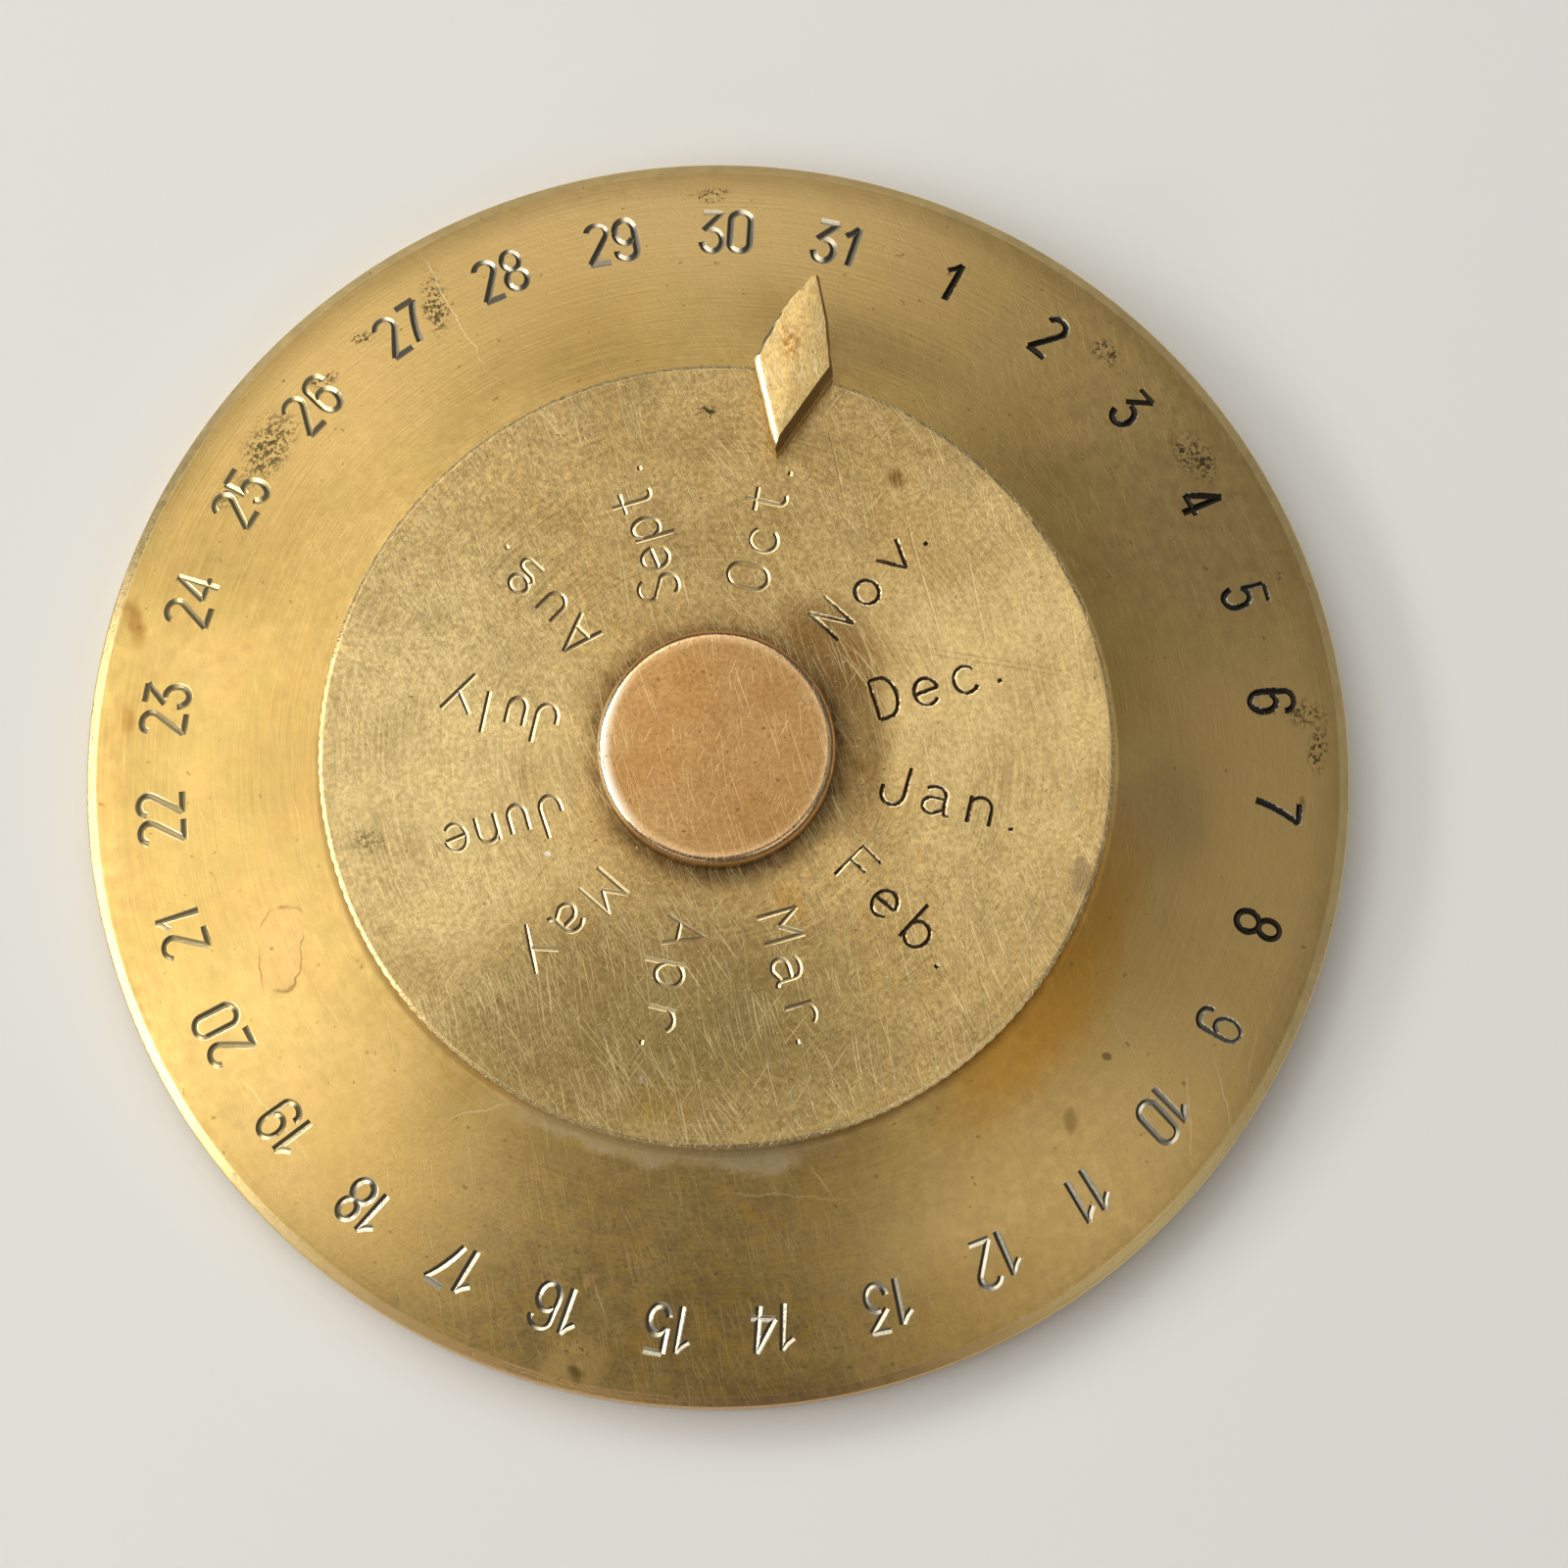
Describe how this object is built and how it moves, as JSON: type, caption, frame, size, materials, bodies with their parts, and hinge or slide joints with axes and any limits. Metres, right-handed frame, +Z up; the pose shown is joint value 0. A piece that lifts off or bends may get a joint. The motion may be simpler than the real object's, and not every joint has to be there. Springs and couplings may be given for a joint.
{
  "type": "perpetual desk calendar",
  "caption": "Round desk calendar: a heavy base whose sloping rim carries the dates, with a milled month disc, a knob and a lozenge pointer that turn about the centre.",
  "frame": {"origin": "on the table, at the centre of the felt's underside", "axes": "+Z up along the spindle, +Y away from the reader, towards the upper edge of the picture, +X to the right"},
  "size_m": [0.12, 0.12, 0.0199],
  "materials": {
    "base_brass": "satin, aged and stained",
    "disc_brass": "satin, finely scratched",
    "knob_bronze": "satin, worn, more coppery",
    "pointer_brass": "filed and scratched",
    "carrier_brass": "turned",
    "bush_bronze": "turned",
    "steel": "plain",
    "felt": "matt felt",
    "fibre": "matt vulcanised fibre"
  },
  "bodies": {
    "base": {"base_plate": "base_brass", "felt_pad": "felt", "centre_bush": "bush_bronze", "lower_washer": "fibre", "wave_washer": "steel"},
    "pointer": {"pointer_carrier": "carrier_brass", "pointer": "pointer_brass", "pointer_screw_1": "carrier_brass", "pointer_screw_2": "carrier_brass"},
    "month_dial": {"month_disc": "disc_brass", "knob": "knob_bronze", "spindle": "steel", "upper_washer": "fibre", "plain_washer": "steel", "retaining_nut": "steel", "lock_nut": "steel"}
  },
  "joints": [
    {"name": "pointer_turn", "type": "hinge", "parent": "base", "child": "pointer", "pos_m": [0, 0, 0.0144], "axis": [0, 0, 1], "continuous": true},
    {"name": "month_dial_turn", "type": "hinge", "parent": "base", "child": "month_dial", "pos_m": [0, 0, 0.0161], "axis": [0, 0, 1], "continuous": true}
  ]
}
